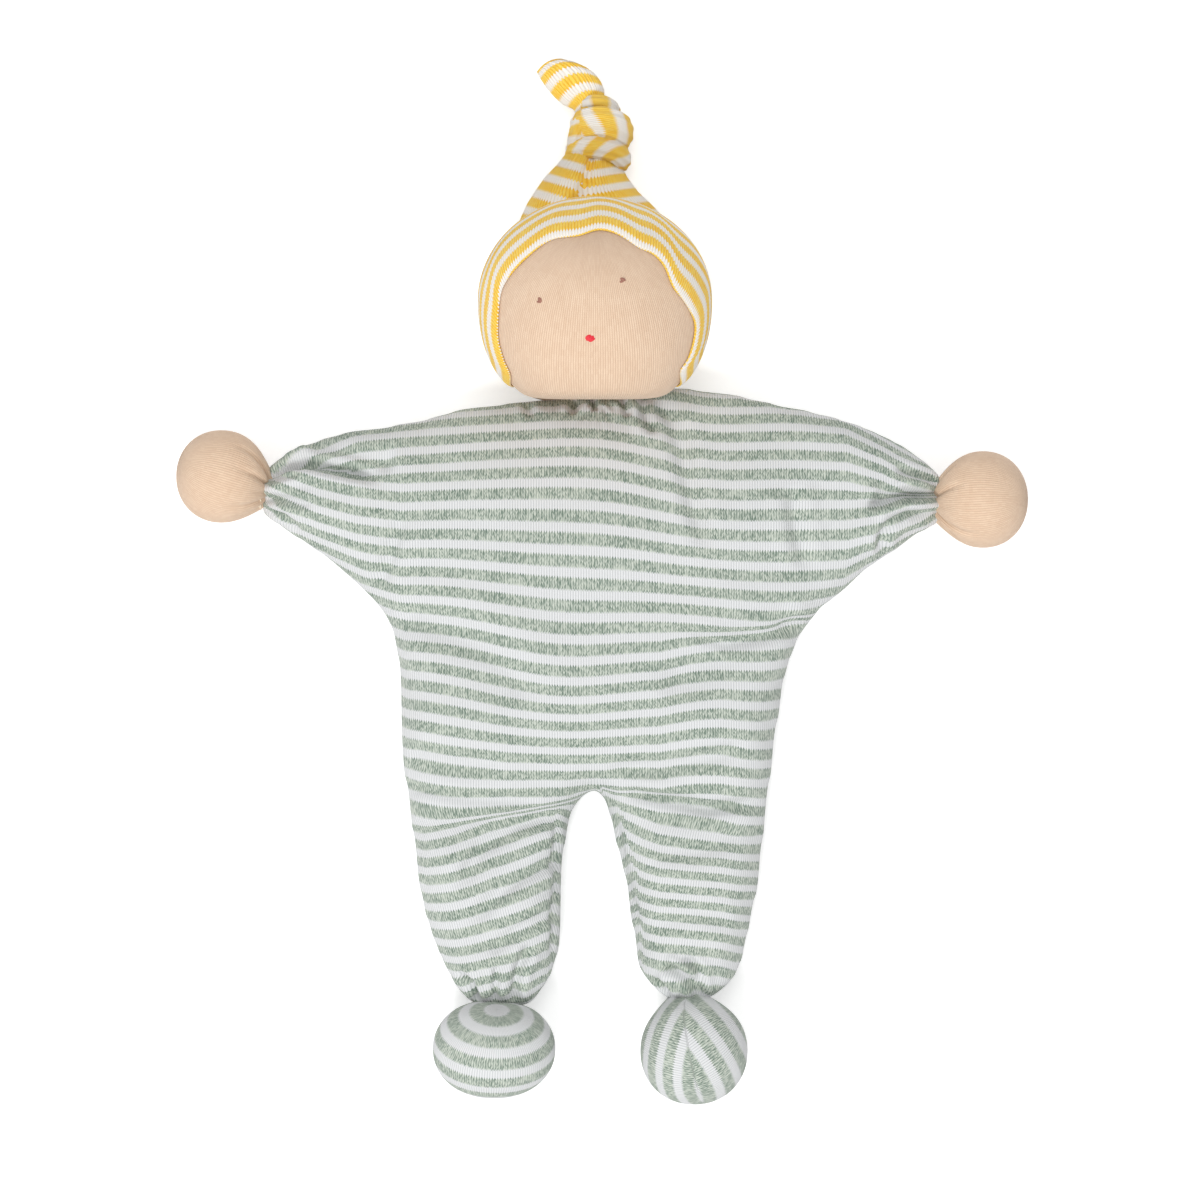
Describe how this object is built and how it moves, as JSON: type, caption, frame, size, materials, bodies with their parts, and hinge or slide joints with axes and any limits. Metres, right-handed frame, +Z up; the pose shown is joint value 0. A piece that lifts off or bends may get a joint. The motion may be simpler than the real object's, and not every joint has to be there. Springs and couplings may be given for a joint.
{
  "type": "cuddle doll",
  "caption": "Flat knit cuddle doll lying on its back: striped romper, wool ball head with a face of stitches, knotted striped hood, and tied hands and feet that flop.",
  "frame": {"origin": "middle of the doll's footprint on the table", "axes": "+Z up out of the face, +Y from the feet to the hood's tip, +X to the doll's left hand"},
  "size_m": [0.2442, 0.3002, 0.0576],
  "materials": {
    "sage_knit": "soft rib knit, sage heather and white stripes",
    "yellow_knit": "soft rib knit, yellow and cream stripes",
    "skin_tricot": "fine matt cotton tricot",
    "wool": "carded wool",
    "cream_thread": "cotton thread",
    "brown_thread": "embroidery thread",
    "red_thread": "embroidery thread"
  },
  "bodies": {
    "torso": {"torso_front": "sage_knit", "torso_back": "sage_knit", "torso_batting": "wool"},
    "neck": {"neck_tie": "cream_thread"},
    "head": {"head_skin": "skin_tricot", "head_core": "wool", "left_eye": "brown_thread", "right_eye": "brown_thread", "mouth": "red_thread", "hood": "yellow_knit"},
    "hood_tail": {"hood_tail": "yellow_knit", "hood_knot": "yellow_knit"},
    "hood_tip": {"hood_tip": "yellow_knit"},
    "left_arm": {"left_arm_front": "sage_knit", "left_arm_back": "sage_knit", "left_arm_batting": "wool", "left_wrist_tie": "cream_thread"},
    "left_hand": {"left_hand_skin": "skin_tricot", "left_hand_core": "wool"},
    "right_arm": {"right_arm_front": "sage_knit", "right_arm_back": "sage_knit", "right_arm_batting": "wool", "right_wrist_tie": "cream_thread"},
    "right_hand": {"right_hand_skin": "skin_tricot", "right_hand_core": "wool"},
    "left_leg": {"left_leg_front": "sage_knit", "left_leg_back": "sage_knit", "left_leg_batting": "wool", "left_ankle_tie": "cream_thread"},
    "left_foot": {"left_foot_cover": "sage_knit", "left_foot_core": "wool"},
    "right_leg": {"right_leg_front": "sage_knit", "right_leg_back": "sage_knit", "right_leg_batting": "wool", "right_ankle_tie": "cream_thread"},
    "right_foot": {"right_foot_cover": "sage_knit", "right_foot_core": "wool"}
  },
  "joints": [
    {"name": "neck_nod", "type": "hinge", "parent": "torso", "child": "neck", "pos_m": [-0.00208, 0.05306, 0.0115], "axis": [1, 0, 0], "range_deg": [-30, 30]},
    {"name": "head_turn", "type": "hinge", "parent": "neck", "child": "head", "pos_m": [-0.00208, 0.05306, 0.0115], "axis": [0, 0.8226, 0.5687], "range_deg": [-60, 60]},
    {"name": "hood_tail_swing", "type": "hinge", "parent": "head", "child": "hood_tail", "pos_m": [-0.00408, 0.10833, 0.0065], "axis": [1, 0, 0], "range_deg": [-60, 45]},
    {"name": "hood_tip_swing", "type": "hinge", "parent": "hood_tail", "child": "hood_tip", "pos_m": [-0.00348, 0.13712, 0.0065], "axis": [0.7193, 0.6947, 0], "range_deg": [-45, 45]},
    {"name": "left_shoulder", "type": "hinge", "parent": "torso", "child": "left_arm", "pos_m": [0.05862, 0.01706, 0.0082], "axis": [0, -1, 0], "range_deg": [-60, 70]},
    {"name": "left_wrist", "type": "hinge", "parent": "left_arm", "child": "left_hand", "pos_m": [0.09802, 0.02406, 0.0097], "axis": [0, 0, 1], "range_deg": [-25, 25]},
    {"name": "right_shoulder", "type": "hinge", "parent": "torso", "child": "right_arm", "pos_m": [-0.06278, 0.01756, 0.0082], "axis": [0, 1, 0], "range_deg": [-60, 70]},
    {"name": "right_wrist", "type": "hinge", "parent": "right_arm", "child": "right_hand", "pos_m": [-0.09778, 0.02486, 0.0097], "axis": [0, 0, 1], "range_deg": [-25, 25]},
    {"name": "left_hip", "type": "hinge", "parent": "torso", "child": "left_leg", "pos_m": [0.02512, -0.06884, 0.0082], "axis": [-1, 0, 0], "range_deg": [-45, 85]},
    {"name": "left_ankle", "type": "hinge", "parent": "left_leg", "child": "left_foot", "pos_m": [0.02572, -0.11914, 0.0112], "axis": [-1, 0, 0], "range_deg": [-30, 20]},
    {"name": "right_hip", "type": "hinge", "parent": "torso", "child": "right_leg", "pos_m": [-0.03128, -0.06884, 0.0082], "axis": [-1, 0, 0], "range_deg": [-45, 85]},
    {"name": "right_ankle", "type": "hinge", "parent": "right_leg", "child": "right_foot", "pos_m": [-0.02948, -0.11914, 0.0112], "axis": [-1, 0, 0], "range_deg": [-30, 20]}
  ]
}
